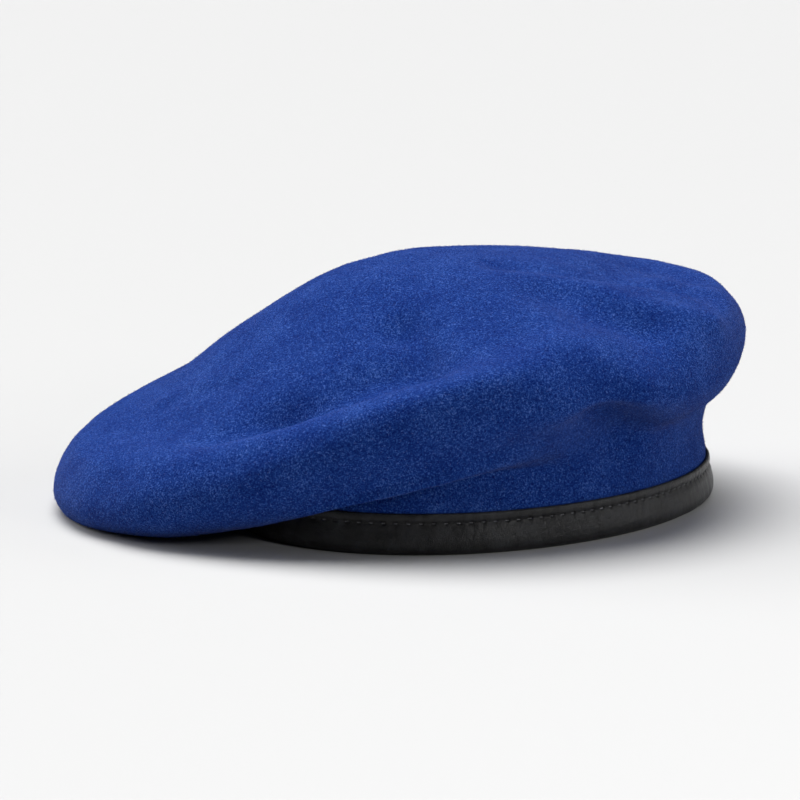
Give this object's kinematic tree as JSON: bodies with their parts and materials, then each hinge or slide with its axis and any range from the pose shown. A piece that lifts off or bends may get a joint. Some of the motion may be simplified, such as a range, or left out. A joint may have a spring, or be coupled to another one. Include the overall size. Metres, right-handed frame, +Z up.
{
  "type": "military beret",
  "caption": "Soft felt beret pulled down to one side, with an upright front, a rolled rim and a stitched leather binding round its oval head opening.",
  "frame": {"origin": "middle of the beret's bounding box, on the plane that the binding rests on", "axes": "+Z up out of the crown, +X to the raised side, -X to the side that the crown is pulled down to, -Y to the upright front panel"},
  "size_m": [0.2696, 0.2302, 0.0972],
  "materials": {
    "felt": "matt royal-blue wool felt with a short nap",
    "binding": "satin black leather"
  },
  "bodies": {
    "root": {"felt_crown": "felt", "leather_binding": "binding"}
  },
  "joints": []
}
